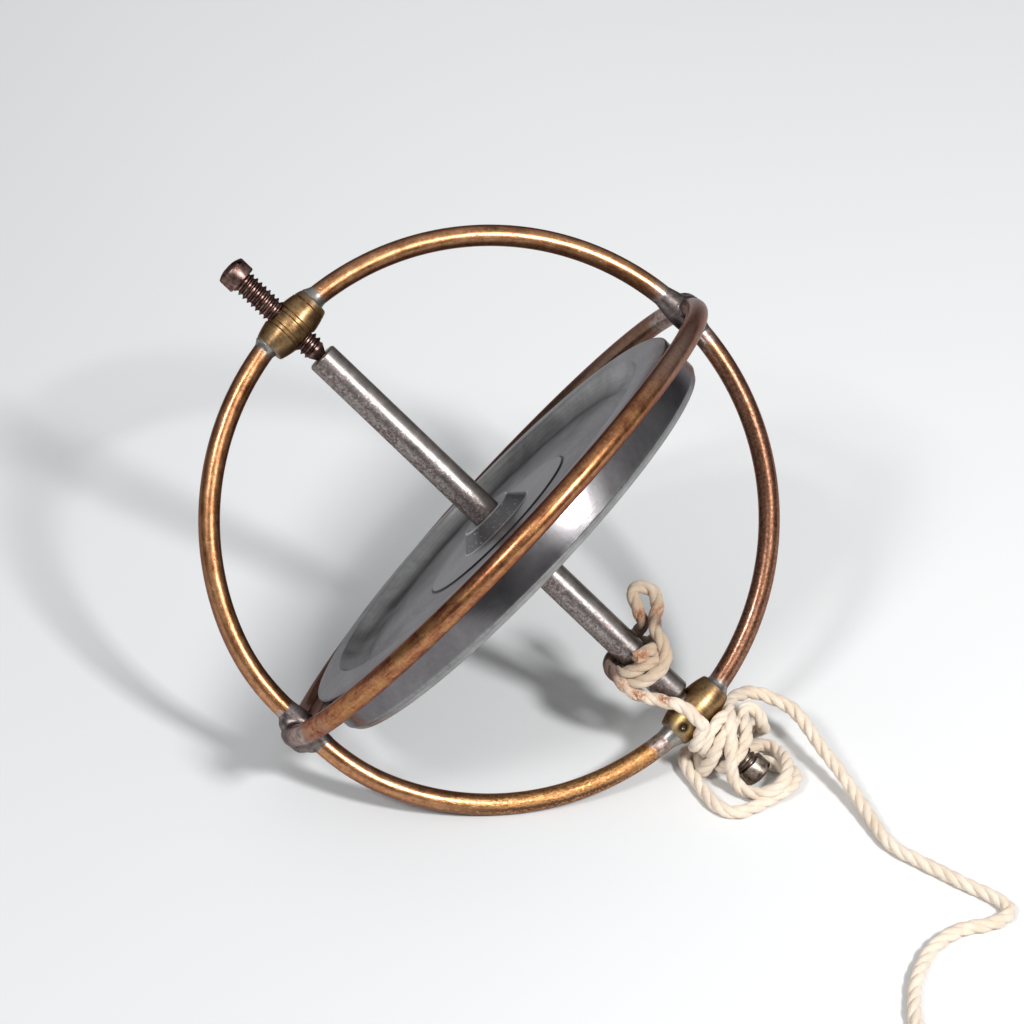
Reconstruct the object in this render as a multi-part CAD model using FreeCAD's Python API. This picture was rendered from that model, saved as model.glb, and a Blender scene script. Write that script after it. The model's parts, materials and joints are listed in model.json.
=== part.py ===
import FreeCAD, Part
import math
import os

from FreeCAD import Matrix, Placement, Vector

# A pocket gyroscope: a dished steel flywheel on a steel axle, carried between two cone-pointed
# screws in a cage of two crossed wire hoops, with its pull cord knotted to the axle.
# Millimetres and degrees. The pieces are made in the spin frame, whose +Z runs along the axle
# to the upper pivot and whose X runs through both crossings of the hoops, and are then laid
# down on the table as the gyroscope lies at rest.

# ---- Cage: two hoops of one round wire, joined where they cross
WIRE_DIA = 4.06
MERIDIAN_RADIUS = 53.3  # wire centre line of the hoop that carries the pivots
CROSSING_STEP = 1.33  # the equator hoop passes this much further out, half lapped
EQUATOR_LEAN = -1.75  # degrees about X: the equator hoop was joined slightly out of true

# ---- Bosses: turned brass barrels, cross bored for the pivot screws
BOSS_LENGTH = 12.1
BOSS_DIA = 8.2
BOSS_END_DIA = 6.0
BOSS_EDGE = 0.2
BOSS_SHIFT = 0.35  # both barrels sit this far towards the right-hand crossing
UPPER_BOSS_INSET = 0.4  # the upper barrel sits this far inside the wire's line
SOCKET_WALL = 0.97  # brass left between each wire end's socket and the screw's bore
SCRIBE_DEPTH = 0.12  # turned lines round the upper barrel, from its middle
SCRIBES_AT = (-2.3, -1.5, 0.6, 1.45, 4.65)
DIMPLE_AT = -4.35  # a round punch mark in the side of the lower barrel, from its middle
DIMPLE_RADIUS = 0.75
DIMPLE_DEPTH = 0.5

# ---- Soft solder
UPPER_RIGHT_COLLAR = 2.4  # how far each collar runs along the wire from its boss
UPPER_LEFT_COLLAR = 1.7
LOWER_RIGHT_COLLAR = 1.7
LOWER_LEFT_COLLAR = 3.4
COLLAR_FOOT = 0.5  # wider than the wire, against the boss
SOLDER_TOE = 0.06  # how far the outline runs in under the wire, so that solder ends in a thin edge
CROSSING_HALF_LENGTH = 4.8
CROSSING_WAIST_AT = 2.5
CROSSING_WAIST = 0.6
CROSSING_CREST = 1.45

# ---- Pivot screws
THREAD_DIA = 4.76
THREAD_CLEARANCE = 0.05  # radial, in the boss
HEAD_DIA = 5.9
HEAD_HEIGHT = 3.7
HEAD_DOME = 0.7
NECK_DIA = 4.0
NECK_LENGTH = 0.8
SLOT_WIDTH = 0.95
SLOT_DEPTH = 1.2
POINT_ANGLE = 60.0
POINT_FLAT = 0.12
UPPER_SCREW_LENGTH = 25.6
LOWER_SCREW_LENGTH = 24.6

# ---- Rotor
AXLE_DIA = 5.96
AXLE_CHAMFER = 0.35
UPPER_GAP = 3.92  # between the boss and the axle's end
LOWER_GAP = 0.37
CONE_ENGAGEMENT = 1.9  # how deep each point sits in the axle's cup
CONE_CLEARANCE = 0.08  # along the axis, so that the rotor spins freely
RIM_TO_CAGE = 4.57
RIM_WIDTH = 6.83
RIM_FALL = 0.6  # the rim's faces slope down this much from the lip to the edge
RIM_THICKNESS = 10.0
FLYWHEEL_AT = -3.38  # the flywheel's middle, from the cage's centre
TOP_EDGE = 0.35
BOTTOM_EDGE_WIDTH = 0.9
BOTTOM_EDGE_HEIGHT = 1.85  # below the bottom lip
DISH_DEPTH = 2.84
DISH_WALL = 6.5  # the width of the curved wall, from the rim to the flat floor
PLATEAU_RADIUS = 17.3  # a low step round the hub
PLATEAU_RISE = 0.3
HUB_TOP_DIA = 10.8
HUB_BASE_DIA = 16.5
HUB_HEIGHT = 3.15

# ---- How it lies
HEADING = 159.75  # the plan direction of the axle's upper end, from +X towards +Y

# ---- Pull cord
CORD_DIA = 2.7
CORD_CLEARANCE = 0.35
KNOT_AT = (-33.9, -40.5)
KNOT_DIA = 13.4
WRAPS_START = 0.4  # below the lower boss
WRAPS_LENGTH = 9.3
WRAPS_DIA = 13.2
LOOPS_CENTRE = (48.4, -19.3)
LOOPS_RADIUS = 12.2
LOOPS_WIDTH = 5.6
COIL_CENTRE = (75.5, -113.5)
COIL_RADIUS = 14.85
COIL_TURNS_WIDE = 3
COIL_LAYERS = 2
LAYER_RISE = 0.87  # of a diameter, where turns nest in the layer below
END_KNOT_AT = (79.0, -109.6)
END_KNOT_DIA = 5.6

# The cord's free stretches, in the row frame. The rest of it lies in the knot, wraps, loops and coil.
BIGHT_ROUTE = [
    (30.2, -7.3, 26.0),
    (27.7, -5.8, 29.4),
    (27.0, -4.0, 33.6),
    (29.4, -2.9, 35.8),
    (32.4, -5.0, 33.0),
    (31.9, -8.0, 29.6),
    (31.5, -11.3, 25.9),
]
LEAD_ROUTE = [
    (26.2, -15.6, 19.0),
    (31.0, -17.1, 17.7),
    (36.6, -19.2, 18.4),
    (41.0, -22.8, 15.8),
    (43.2, -26.0, 10.4),
    (43.2, -27.0, 5.4),
    (42.4, -26.6, 1.6),
]
TAIL_ROUTE = [
    (45.1, -12.0, 10.2),
    (46.8, -6.8, 10.3),
    (50.7, -3.3, 9.9),
    (54.9, -4.5, 9.0),
    (59.5, -6.9, 8.0),
    (63.1, -13.7, 6.2),
    (67.4, -20.3, 4.3),
    (71.5, -27.4, 2.3),
    (75.8, -37.9, 1.36),
    (82.3, -42.3, 1.36),
    (88.6, -47.2, 1.36),
    (94.5, -50.9, 1.36),
    (97.6, -54.6, 1.36),
    (93.9, -58.4, 1.36),
    (87.4, -59.7, 1.36),
    (82.3, -64.5, 1.36),
    (79.2, -70.9, 1.36),
    (77.9, -77.3, 1.36),
    (77.4, -86.7, 1.36),
    (80.2, -97.5, 1.36),
    (85.3, -104.4, 1.36),
]

WIRE_RADIUS = WIRE_DIA / 2
EQUATOR_RADIUS = MERIDIAN_RADIUS + CROSSING_STEP
BOSS_AXIS = math.sqrt(MERIDIAN_RADIUS**2 - (BOSS_LENGTH / 2) ** 2)
AXLE_TOP = BOSS_AXIS - UPPER_BOSS_INSET - BOSS_DIA / 2 - UPPER_GAP
AXLE_BOTTOM = -(BOSS_AXIS - BOSS_DIA / 2 - LOWER_GAP)
POINT_SLOPE = math.tan(math.radians(POINT_ANGLE / 2))
FLYWHEEL_RADIUS = MERIDIAN_RADIUS - WIRE_RADIUS - RIM_TO_CAGE
UPPER_HEAD_END = AXLE_TOP - CONE_ENGAGEMENT + UPPER_SCREW_LENGTH
LOWER_HEAD_END = -(AXLE_BOTTOM + CONE_ENGAGEMENT - LOWER_SCREW_LENGTH)

CENTRE = Vector(0, 0, 0)
X, Y, Z = Vector(1, 0, 0), Vector(0, 1, 0), Vector(0, 0, 1)


# ---- Building blocks
def turned(outline, centre=CENTRE):
    """A solid turned about a line along Z: outline is a list of edges or (radius, z) corners."""
    edges = []
    last = first = None
    for item in outline:
        points = [Vector(r, 0, z) for r, z in item]
        if last is not None and last.distanceToPoint(points[0]) > 1e-7:
            edges.append(Part.LineSegment(last, points[0]).toShape())
        if len(points) == 3:
            edges.append(Part.Arc(*points).toShape())
        elif len(points) == 2:
            edges.append(Part.LineSegment(*points).toShape())
        first = first or points[0]
        last = points[-1]
    edges.append(Part.LineSegment(last, first).toShape())
    solid = Part.Face(Part.Wire(edges)).revolve(CENTRE, Z, 360)
    solid.translate(centre)
    return solid


def corners(*points):
    """The corners of a plain outline, one point to an item."""
    return [(p,) for p in points]


def hoop(radius, start, span):
    """A stretch of wire hoop in the XZ plane, from start degrees round from +Z towards +X."""
    disc = Part.Face(Part.Wire(Part.makeCircle(WIRE_RADIUS, Vector(0, 0, radius), X)))
    disc.rotate(CENTRE, Y, start)
    return disc.revolve(CENTRE, Y, span)


def tube(route, diameter, name):
    """A cord's tube: straight runs joined by tangent arcs as large as the runs allow."""
    points = [Vector(*p) for p in route]
    edges, here, radii = [], points[0], []
    for before, at, after in zip(points, points[1:], points[2:]):
        a, b = (before - at), (after - at)
        setback = 0.45 * min(a.Length, b.Length)
        turn = math.pi - a.getAngle(b)
        radii.append(setback / math.tan(turn / 2))
        a.normalize()
        b.normalize()
        start, end = at + a * setback, at + b * setback
        inward = (a + b).normalize()
        reach = radii[-1] / math.cos(turn / 2) - radii[-1]
        edges.append(Part.LineSegment(here, start).toShape())
        edges.append(Part.Arc(start, at + inward * reach, end).toShape())
        here = end
    edges.append(Part.LineSegment(here, points[-1]).toShape())
    path = Part.Wire(edges)
    way = points[1] - points[0]
    section = Part.Wire(Part.makeCircle(diameter / 2, points[0], way))
    solid = path.makePipeShell([section], True, False)
    expected = path.Length * math.pi * diameter**2 / 4
    print(
        f"{name}: length {path.Length:.1f}, volume ratio {solid.Volume / expected:.4f}, radii "
        + " ".join(f"{r:.1f}" for r in radii)
    )
    return solid


# ---- Cage
WIRE_END_AT = THREAD_DIA / 2 + THREAD_CLEARANCE + SOCKET_WALL
WIRE_END_ANGLE = math.degrees(math.asin(WIRE_END_AT / MERIDIAN_RADIUS))
SOCKET_CUT = 20.0  # degrees of wire taken out of the boss from each socket's floor


def whole_meridian():
    return hoop(MERIDIAN_RADIUS, 0, 360)


def whole_equator():
    ring = hoop(EQUATOR_RADIUS, 0, 360)
    ring.rotate(CENTRE, X, 90)
    ring.rotate(CENTRE, X, EQUATOR_LEAN)
    return ring


def outside_lap():
    """Everything outside the faces where the two hoops are half lapped."""
    mid = (MERIDIAN_RADIUS + EQUATOR_RADIUS) / 2
    size = 4 * EQUATOR_RADIUS
    block = Part.makeBox(size, size, size, Vector(-size / 2, -size / 2, -size / 2))
    slab = Part.makeBox(2 * mid, size, size, Vector(-mid, -size / 2, -size / 2))
    return block.cut(slab)


def meridian_half(side):
    half = hoop(MERIDIAN_RADIUS, side * WIRE_END_ANGLE, side * (180 - 2 * WIRE_END_ANGLE))
    return half.cut(whole_equator().common(outside_lap()))


def equator_hoop():
    ring = whole_equator()
    return ring.cut(whole_meridian().cut(outside_lap()))


def barrel_radius(along):
    """The barrel's radius at a place along it: its side is one arc from end to end."""
    sag, half = (BOSS_DIA - BOSS_END_DIA) / 2, BOSS_LENGTH / 2
    side = (half**2 + sag**2) / (2 * sag)
    return BOSS_DIA / 2 - side + math.sqrt(side**2 - along**2)


def barrel():
    """A turned barrel about Z, with its middle at the origin."""
    half = BOSS_LENGTH / 2
    rim = half - BOSS_EDGE
    edge = barrel_radius(rim)
    return turned(
        [
            ((0, -half),),
            ((edge - BOSS_EDGE, -half),),
            ((edge, -rim), (barrel_radius(0), 0), (edge, rim)),
            ((edge - BOSS_EDGE, half),),
            ((0, half),),
        ]
    )


def scribed_line(along):
    """The vee that a turning tool takes out, one millimetre beyond the surface."""
    bottom = barrel_radius(along) - SCRIBE_DEPTH
    top, half = bottom + SCRIBE_DEPTH + 1, SCRIBE_DEPTH + 1
    return turned(corners((bottom, along), (top, along + half), (top, along - half)))


def punch_mark():
    """The round dimple in the lower barrel's side, about the barrel's own middle."""
    out = barrel_radius(DIMPLE_AT) + DIMPLE_RADIUS - DIMPLE_DEPTH
    return Part.makeSphere(DIMPLE_RADIUS, Vector(0, -out, DIMPLE_AT))


def boss(end):
    """The boss at the upper (+1) or lower (-1) pivot, bored for its screw and both wire ends."""
    body = barrel()
    if end > 0:
        for along in SCRIBES_AT:
            body = body.cut(scribed_line(along))
        from_centre = BOSS_AXIS - UPPER_BOSS_INSET
    else:
        body = body.cut(punch_mark())
        from_centre = -BOSS_AXIS
    body.rotate(CENTRE, Y, 90)
    body.translate(X * BOSS_SHIFT + Z * from_centre)
    bore = Part.makeCylinder(THREAD_DIA / 2 + THREAD_CLEARANCE, 2 * BOSS_DIA)
    bore.translate(Z * (end * BOSS_AXIS - BOSS_DIA))
    return body.cut(bore).cut(wire_ends(end))


def wire_ends(end):
    sides = []
    for side in (1, -1):
        start = WIRE_END_ANGLE if end > 0 else 180 - WIRE_END_ANGLE - SOCKET_CUT
        sides.append(hoop(MERIDIAN_RADIUS, side * start, side * SOCKET_CUT))
    return sides[0].fuse(sides[1])


def solder_collar(end, side, length):
    """A collar of solder on the wire, against one end of a boss, that thins out to nothing."""
    foot, toe = WIRE_RADIUS + COLLAR_FOOT, WIRE_RADIUS - SOLDER_TOE
    inside = 0.6
    middle = (foot * 0.3 + toe * 0.7, length * 0.4)
    cone = turned(
        [
            ((0, -inside),),
            ((foot, -inside),),
            ((foot, 0), middle, (toe, length)),
            ((0, length),),
        ],
        Z * -length / 2,
    )
    face = BOSS_LENGTH / 2 + side * BOSS_SHIFT
    round_by = math.asin(face / MERIDIAN_RADIUS) + length / 2 / MERIDIAN_RADIUS
    cone.rotate(CENTRE, Y, 90)
    cone.translate(Z * MERIDIAN_RADIUS)
    cone.rotate(CENTRE, Y, math.degrees(round_by))
    cone = cone.cut(whole_meridian())
    cone = cone.cut(Part.makeBox(40, 40, 40, Vector(face - 40, -20, MERIDIAN_RADIUS - 20)))
    if side < 0:
        cone.rotate(CENTRE, Z, 180)
    if end < 0:
        cone.rotate(CENTRE, X, 180)
    return cone


def crossing_solder(side):
    """The solder wiped round one crossing: a spindle on the meridian wire, below the equator wire."""
    crest, waist = WIRE_RADIUS + CROSSING_CREST, WIRE_RADIUS + CROSSING_WAIST
    toe, long = WIRE_RADIUS - SOLDER_TOE, CROSSING_HALF_LENGTH
    spindle = turned(
        [
            ((0, -long),),
            ((toe, -long), (waist - 0.1, -(long + CROSSING_WAIST_AT) / 2), (waist, -CROSSING_WAIST_AT)),
            ((waist, -CROSSING_WAIST_AT), (crest, 0), (waist, CROSSING_WAIST_AT)),
            ((waist, CROSSING_WAIST_AT), (waist - 0.1, (long + CROSSING_WAIST_AT) / 2), (toe, long)),
            ((0, long),),
        ],
        X * MERIDIAN_RADIUS,
    )
    if side < 0:
        spindle.rotate(CENTRE, Z, 180)
    return spindle.cut(whole_meridian()).cut(whole_equator())


# ---- Pivot screws
def pivot_screw(end, length):
    """A cheese head screw with a cone point, turned about Z with its head outward."""
    major, head, neck = THREAD_DIA / 2, HEAD_DIA / 2, NECK_DIA / 2
    rim = length - HEAD_DOME
    under = length - HEAD_HEIGHT
    cone = (major - POINT_FLAT) / POINT_SLOPE
    screw = turned(
        [
            ((0, 0),),
            ((POINT_FLAT, 0),),
            ((major, cone),),
            ((major, under - NECK_LENGTH - 0.3),),
            ((neck, under - NECK_LENGTH),),
            ((neck, under),),
            ((head, under),),
            ((head, rim), (head * 0.62, length - HEAD_DOME * 0.28), (0, length)),
        ]
    )
    slot = Part.makeBox(2 * head, SLOT_WIDTH, SLOT_DEPTH * 2)
    slot.translate(Vector(-head, -SLOT_WIDTH / 2, length - SLOT_DEPTH))
    screw = screw.cut(slot)
    screw.rotate(CENTRE, Z, 35)
    tip = -POINT_FLAT / POINT_SLOPE + CONE_ENGAGEMENT
    if end < 0:
        screw.rotate(CENTRE, X, 180)
        screw.translate(Z * (AXLE_BOTTOM + tip))
    else:
        screw.translate(Z * (AXLE_TOP - tip))
    return screw


# ---- Rotor
def axle():
    radius, c = AXLE_DIA / 2, AXLE_CHAMFER
    rod = turned(
        corners(
            (0, AXLE_BOTTOM),
            (radius - c, AXLE_BOTTOM),
            (radius, AXLE_BOTTOM + c),
            (radius, AXLE_TOP - c),
            (radius - c, AXLE_TOP),
            (0, AXLE_TOP),
        )
    )
    depth = CONE_ENGAGEMENT + CONE_CLEARANCE
    cup = Part.makeCone(0, depth * POINT_SLOPE, depth)
    lower = cup.copy()
    cup.translate(Z * (AXLE_TOP - depth))
    lower.rotate(CENTRE, X, 180)
    lower.translate(Z * (AXLE_BOTTOM + depth))
    return rod.cut(cup).cut(lower)


def dished_face(sign):
    """One face of the flywheel, from the bore outwards, as (radius, height from the middle)."""
    rim = RIM_THICKNESS / 2
    floor = rim - DISH_DEPTH
    lip = FLYWHEEL_RADIUS - RIM_WIDTH
    foot = lip - DISH_WALL
    plateau = floor + PLATEAU_RISE
    bore, hub, base = AXLE_DIA / 2, HUB_TOP_DIA / 2, HUB_BASE_DIA / 2
    wall = (lip - DISH_WALL * 0.22, rim - DISH_DEPTH * 0.68)
    face = [
        ((bore, floor + HUB_HEIGHT),),
        ((hub, floor + HUB_HEIGHT),),
        ((base, plateau),),
        ((PLATEAU_RADIUS, plateau),),
        ((PLATEAU_RADIUS + PLATEAU_RISE, floor),),
        ((foot, floor), wall, (lip, rim)),
    ]
    edge = rim - RIM_FALL
    if sign > 0:
        face += [((FLYWHEEL_RADIUS - TOP_EDGE, edge),), ((FLYWHEEL_RADIUS, edge - TOP_EDGE),)]
    else:
        face += [((FLYWHEEL_RADIUS - BOTTOM_EDGE_WIDTH, edge),), ((FLYWHEEL_RADIUS, rim - BOTTOM_EDGE_HEIGHT),)]
    return [tuple((r, sign * z) for r, z in item) for item in face]


def flywheel():
    top = dished_face(1)
    bottom = [tuple(reversed(item)) for item in reversed(dished_face(-1))]
    return turned(top + bottom, Z * FLYWHEEL_AT)


# ---- Lying down
def down_vector(dip, azimuth):
    flat = math.cos(dip)
    return Vector(flat * math.cos(azimuth), flat * math.sin(azimuth), -math.sin(dip))


def reach_of_equator(down):
    lean = math.radians(EQUATOR_LEAN)
    normal = Vector(0, -math.sin(lean), math.cos(lean))
    return EQUATOR_RADIUS * math.sqrt(1 - down.dot(normal) ** 2) + WIRE_RADIUS


def reach_of_meridian(down):
    return MERIDIAN_RADIUS * math.hypot(down.x, down.z) + WIRE_RADIUS


def reach_of_head(down):
    rim = LOWER_HEAD_END - HEAD_DOME
    return rim * abs(down.z) + HEAD_DIA / 2 * math.hypot(down.x, down.y)


def halved(low, high, too_low):
    for _ in range(60):
        middle = (low + high) / 2
        if too_low(middle):
            low = middle
        else:
            high = middle
    return (low + high) / 2


def dip_at(azimuth):
    """The dip at which the equator hoop and the lower screw's head touch the table together."""

    def too_low(dip):
        down = down_vector(dip, azimuth)
        return reach_of_head(down) < reach_of_equator(down)

    return halved(math.radians(5), math.radians(80), too_low)


def lying_down():
    """The placement on the table: it rests on both hoops and the lower screw's head."""

    def too_low(azimuth):
        down = down_vector(dip_at(azimuth), azimuth)
        return reach_of_meridian(down) < reach_of_equator(down)

    azimuth = halved(math.radians(95), math.radians(175), too_low)
    down = down_vector(dip_at(azimuth), azimuth)
    up = down * -1
    along = (Z - up * up.z).normalize()
    across = up.cross(along)
    turn = math.radians(HEADING)
    right = along * math.cos(turn) - across * math.sin(turn)
    ahead = along * math.sin(turn) + across * math.cos(turn)
    height = reach_of_equator(down)
    rows = (right, ahead, up)
    matrix = Matrix(
        *rows[0], 0,
        *rows[1], 0,
        *rows[2], height,
        0, 0, 0, 1,
    )  # fmt: skip
    return Placement(matrix)


# ---- Cord
def turned_ring(inner, outer, low, high, edge):
    """A ring about Z with its outer corners cut off."""
    return turned(
        corners(
            (inner, low),
            (outer - edge, low),
            (outer, low + edge),
            (outer, high - edge),
            (outer - edge, high),
            (inner, high),
        )
    )


def cord_knot():
    low, high = sorted(KNOT_AT)
    inner = AXLE_DIA / 2 + CORD_CLEARANCE
    return turned_ring(inner, KNOT_DIA / 2, low, high, CORD_DIA / 2)


def cord_wraps():
    high = -(BOSS_AXIS + BOSS_DIA / 2 + WRAPS_START)
    inner = HEAD_DIA / 2 + CORD_CLEARANCE
    return turned_ring(inner, WRAPS_DIA / 2, high - WRAPS_LENGTH, high, CORD_DIA / 2)


def above_table(solid):
    box = solid.BoundBox
    size = box.DiagonalLength
    return solid.common(Part.makeBox(2 * size, 2 * size, size, Vector(box.XMin - size, box.YMin - size, 0)))


def cord_loops(placement):
    """The loops that lie on the table round the lower screw's head, clear of its way out."""
    ring = turned_ring(LOOPS_RADIUS - LOOPS_WIDTH, LOOPS_RADIUS, 0, CORD_DIA, CORD_DIA / 4)
    ring.translate(Vector(*LOOPS_CENTRE, 0))
    way_out = Part.makeCylinder(HEAD_DIA / 2 + CORD_CLEARANCE, 4 * LOOPS_RADIUS)
    way_out.rotate(CENTRE, X, 180)
    way_out.translate(Z * -BOSS_AXIS)
    way_out.Placement = placement.multiply(way_out.Placement)
    wraps = cord_wraps()
    wraps.Placement = placement.multiply(wraps.Placement)
    return ring.cut(way_out).cut(wraps)


def cord_coil():
    half = COIL_TURNS_WIDE * CORD_DIA / 2
    high = CORD_DIA * (1 + (COIL_LAYERS - 1) * LAYER_RISE)
    inner, outer = COIL_RADIUS - half, COIL_RADIUS + half
    step = CORD_DIA / 2 * (COIL_LAYERS - 1)
    ring = turned(
        corners(
            (inner, 0), (outer, 0), (outer, CORD_DIA * 0.6), (outer - step, high),
            (inner + step, high), (inner, CORD_DIA * 0.6),
        )
    )  # fmt: skip
    ring.translate(Vector(*COIL_CENTRE, 0))
    return ring


def cord_end_knot():
    ball = Part.makeSphere(END_KNOT_DIA / 2)
    ball.translate(Vector(*END_KNOT_AT, END_KNOT_DIA / 2))
    return ball


def main():
    os.makedirs("parts", exist_ok=True)
    placement = lying_down()
    spun = {
        "meridian_hoop_right": meridian_half(1),
        "meridian_hoop_left": meridian_half(-1),
        "equator_hoop": equator_hoop(),
        "upper_boss": boss(1),
        "lower_boss": boss(-1),
        "upper_boss_solder_right": solder_collar(1, 1, UPPER_RIGHT_COLLAR),
        "upper_boss_solder_left": solder_collar(1, -1, UPPER_LEFT_COLLAR),
        "lower_boss_solder_right": solder_collar(-1, 1, LOWER_RIGHT_COLLAR),
        "lower_boss_solder_left": solder_collar(-1, -1, LOWER_LEFT_COLLAR),
        "crossing_solder_right": crossing_solder(1),
        "crossing_solder_left": crossing_solder(-1),
        "upper_pivot_screw": pivot_screw(1, UPPER_SCREW_LENGTH),
        "lower_pivot_screw": pivot_screw(-1, LOWER_SCREW_LENGTH),
        "axle": axle(),
        "flywheel": flywheel(),
        "cord_knot": cord_knot(),
        "cord_wraps": cord_wraps(),
    }
    for name, solid in spun.items():
        solid.Placement = placement.multiply(solid.Placement)
        if name == "cord_wraps":
            solid = above_table(solid)
        save(name, solid)
    knot = spun["cord_knot"]
    wraps = spun["cord_wraps"]
    loops = cord_loops(placement)
    coil = cord_coil()
    save("cord_bight", tube(BIGHT_ROUTE, CORD_DIA, "cord_bight").cut(knot))
    save("cord_lead", tube(LEAD_ROUTE, CORD_DIA, "cord_lead").cut(knot).cut(loops))
    save("cord_loops", loops)
    save("cord_tail", tube(TAIL_ROUTE, CORD_DIA, "cord_tail").cut(wraps).cut(coil))
    save("cord_coil", coil)
    save("cord_end_knot", cord_end_knot())


def save(name, solid):
    if len(solid.Solids) != 1 or not solid.isValid():
        print(f"{name}: {len(solid.Solids)} solids, valid {solid.isValid()}")
    solid.exportStep(f"parts/{name}.step")


main()
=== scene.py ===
"""A gyroscope: a steel flywheel in a cage of two soldered wire hoops, with its cotton pull cord."""
import json
import math

import bmesh
import bpy
from mathutils import Matrix, Vector, noise


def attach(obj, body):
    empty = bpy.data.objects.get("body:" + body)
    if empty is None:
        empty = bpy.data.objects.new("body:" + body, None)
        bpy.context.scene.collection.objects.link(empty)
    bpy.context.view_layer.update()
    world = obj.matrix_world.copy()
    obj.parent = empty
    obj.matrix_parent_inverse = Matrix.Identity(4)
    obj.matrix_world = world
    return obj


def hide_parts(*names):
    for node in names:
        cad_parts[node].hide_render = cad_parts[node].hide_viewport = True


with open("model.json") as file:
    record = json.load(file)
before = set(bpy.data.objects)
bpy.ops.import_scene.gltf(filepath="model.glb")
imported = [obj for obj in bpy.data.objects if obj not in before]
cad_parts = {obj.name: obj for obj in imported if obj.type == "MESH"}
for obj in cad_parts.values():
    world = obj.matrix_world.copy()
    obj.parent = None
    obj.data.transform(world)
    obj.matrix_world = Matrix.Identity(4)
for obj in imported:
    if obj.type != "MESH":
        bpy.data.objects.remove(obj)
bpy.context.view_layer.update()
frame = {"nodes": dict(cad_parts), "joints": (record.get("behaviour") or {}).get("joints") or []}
MM = 0.001

# The cage's own directions: up the axle, across to the right-hand crossing of the hoops, and away through
# the window between them.
SPIN = next(joint for joint in frame["joints"] if joint["name"] == "rotor_spin")
CENTRE = Vector(SPIN["pos_m"])
ALONG = Vector(SPIN["axis"]).normalized()
ACROSS = Vector((0.649233, 0.533737, 0.541867)).normalized()
AWAY = ALONG.cross(ACROSS).normalized()
TURN = Matrix((ACROSS, AWAY, ALONG)).transposed().to_4x4()
CAGE = Matrix.Translation(CENTRE) @ TURN @ Matrix.Scale(MM, 4)


def in_cage(point):
    """A point given in millimetres from the cage's centre, in the row frame in millimetres."""
    return (CAGE @ Vector(point)) / MM


# ---------------------------------------------------------------- camera, in millimetres

SENSOR = 36
LENS = 133.594
CAMERA_AT = Vector((3.41955, -574.40199, 466.52654))
CAMERA_RIGHT = Vector((0.99941, 0.02013, 0.02785))
CAMERA_AHEAD = Vector((0.00014, 0.80808, -0.58907))


def camera():
    data = bpy.data.cameras.new("camera")
    data.sensor_width = SENSOR
    data.lens = LENS
    data.clip_start = 0.01
    up = CAMERA_RIGHT.cross(CAMERA_AHEAD)
    turned = Matrix((CAMERA_RIGHT, up, -CAMERA_AHEAD)).transposed().to_4x4()
    item = bpy.data.objects.new("camera", data)
    item.matrix_world = Matrix.Translation(CAMERA_AT * MM) @ turned
    bpy.context.scene.collection.objects.link(item)
    bpy.context.scene.camera = item


camera()

# ---------------------------------------------------------------- pull cord, in millimetres

STRAND_OFFSET = 0.53  # from the middle of the cord to the middle of a strand
STRAND_RADIUS = 0.82
LAY = 9.4  # the length in which a strand goes once round the cord
LINE_STEP = 0.45  # from one ring of a strand's surface to the next

# The slip knot round the axle, in the cage's own directions: the stub in front, three wraps round the axle,
# the loop that stands out, and one more wrap.
KNOT = [(-1.0, -5.9, -36.6), (0.5, -5.7, -37.2), (2.0, -4.8, -38.0), (3.9, -3.0, -38.7),
        (5.0, -0.1, -38.6), (3.6, 3.5, -37.6), (-0.4, 5.0, -36.9), (-3.9, 3.2, -36.6),
        (-5.0, -0.4, -37.0), (-3.3, -3.8, -38.2), (0.3, -5.2, -39.5), (3.6, -3.8, -40.5),
        (5.0, -0.2, -40.6), (3.4, 3.6, -40.0), (-0.8, 4.9, -39.3), (-4.3, 2.6, -38.9),
        (-5.1, -1.2, -39.6), (-2.9, -4.7, -41.2), (0.9, -5.7, -42.0), (3.7, -5.5, -40.8),
        (5.1, -4.6, -38.2), (5.7, -3.7, -36.2), (7.2, -3.1, -34.9), (9.7, -2.5, -33.7),
        (11.2, -1.9, -31.4), (10.4, -1.5, -29.2), (8.3, -1.4, -28.0), (7.3, -1.2, -30.2),
        (6.3, -1.0, -32.2), (5.7, -0.8, -33.9), (4.9, 0.9, -35.0), (3.2, 3.9, -35.3),
        (-0.2, 5.0, -34.9), (-3.4, 3.9, -35.0), (-5.2, 0.9, -35.7), (-5.5, -2.2, -37.2)]

# From the knot over the lower boss. This and the lists below are in the row frame.
LEAD = [(26.2, -15.6, 19.0), (29.2, -16.4, 17.8), (32.8, -17.0, 17.5), (36.1, -18.1, 17.6),
        (38.5, -19.3, 16.6), (40.3, -20.2, 14.9)]

# The turns round the lower screw's shank, each point as how far along the screw, how many degrees round it
# from the side that faces up, and how far out from its axis.
TURNS = [(55.2, 5, 5.3), (56.8, 45, 5.3), (58.0, 85, 4.9), (58.2, 130, 4.2), (57.8, 170, 4.2),
         (57.9, 210, 4.2), (58.2, 250, 4.2), (58.0, 285, 4.2), (57.2, 315, 4.2), (56.9, 345, 4.2),
         (57.3, 375, 4.2), (58.4, 405, 4.2), (59.6, 435, 4.2), (60.4, 470, 4.2), (60.6, 510, 4.2),
         (60.7, 560, 4.2), (60.5, 600, 4.2), (60.0, 640, 4.2), (59.4, 675, 4.2), (59.5, 702, 4.2),
         (60.0, 730, 4.2), (60.8, 758, 4.3), (61.6, 785, 4.8), (62.2, 808, 5.9)]

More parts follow.
